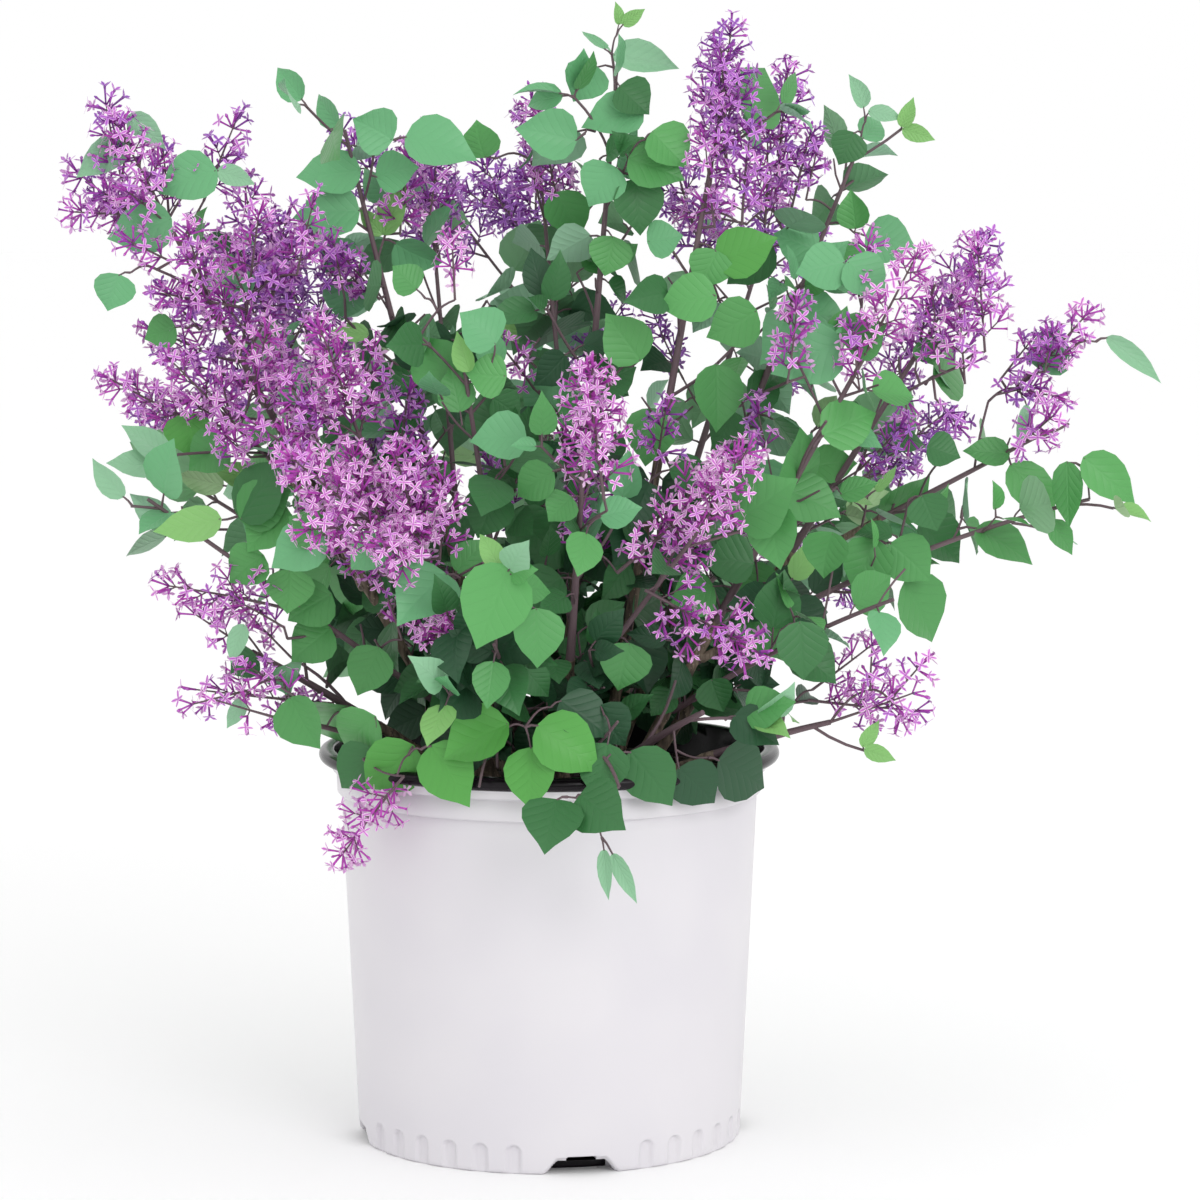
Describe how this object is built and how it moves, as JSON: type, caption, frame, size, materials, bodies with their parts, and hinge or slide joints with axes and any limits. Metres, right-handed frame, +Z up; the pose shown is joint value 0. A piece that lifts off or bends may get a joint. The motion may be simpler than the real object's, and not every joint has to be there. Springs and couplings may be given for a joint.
{
  "type": "lilac bush in a nursery pot",
  "caption": "Flowering lilac bush: a clump of slender canes with heart-shaped leaves and airy purple flower heads, standing in a round tapered white nursery pot.",
  "frame": {"origin": "centre of the pot's flat underside, on the ground", "axes": "+Z up the pot's axis; the bush's front, as first seen, faces -Y; +X to the right of that view"},
  "size_m": [0.6598, 0.5019, 0.688],
  "materials": {
    "pot_plastic": "moulded two-layer polypropylene, white outside and black inside, satin",
    "potting_mix": "composted bark and peat, dark and damp, loose",
    "bark": "smooth young bark, grey-brown with pale pores, purplish on twigs",
    "foliage": "fresh leaves, waxy mid green above and paler beneath",
    "blossom": "waxy petals, purple-pink with pale margins"
  },
  "bodies": {
    "root": {"pot": "pot_plastic", "soil": "potting_mix", "cane_far_left": "bark", "cane_left_inner": "bark", "cane_low_left": "bark", "cane_rim_left": "bark", "cane_tall_left": "bark", "cane_tall_centre": "bark", "cane_top_right": "bark", "cane_right_tall": "bark", "cane_right_mid": "bark", "cane_right_far": "bark", "cane_low_right": "bark", "cane_front_right": "bark", "cane_centre_front": "bark", "cane_centre_leaf": "bark", "cane_rim_front": "bark", "cane_back_left": "bark", "cane_back_centre": "bark", "cane_back_right": "bark", "bough_upper_left": "bark", "bough_left_mid": "bark", "bough_right_outer": "bark", "bough_right_leafy": "bark", "mass_far_left": "blossom", "mass_upper_left": "blossom", "mass_left_mid": "blossom", "mass_left_inner": "blossom", "mass_front_left": "blossom", "mass_left_shoot": "foliage", "mass_low_left": "blossom", "mass_low_left_front": "blossom", "mass_rim_left": "blossom", "mass_tall_left": "foliage", "mass_back_mid_left": "blossom", "mass_centre_back": "blossom", "mass_tall_centre": "foliage", "mass_top_right": "blossom", "mass_right_tall": "foliage", "mass_right_mid": "blossom", "mass_right_far": "blossom", "mass_right_outer": "blossom", "mass_right_leafy": "foliage", "mass_right_low_leaf": "foliage", "mass_low_right": "blossom", "mass_front_right": "blossom", "mass_centre_front": "blossom", "mass_centre_right": "blossom", "mass_centre_leaf": "foliage", "mass_centre_low": "foliage", "mass_rim_centre": "foliage", "mass_rim_front": "foliage", "mass_back_left": "blossom", "mass_back_far_left": "foliage", "mass_back_centre": "blossom", "mass_back_right": "blossom", "mass_back_far_right": "blossom", "mass_back_low_left": "foliage", "mass_back_low_right": "foliage", "mass_back_low": "foliage"}
  },
  "joints": []
}
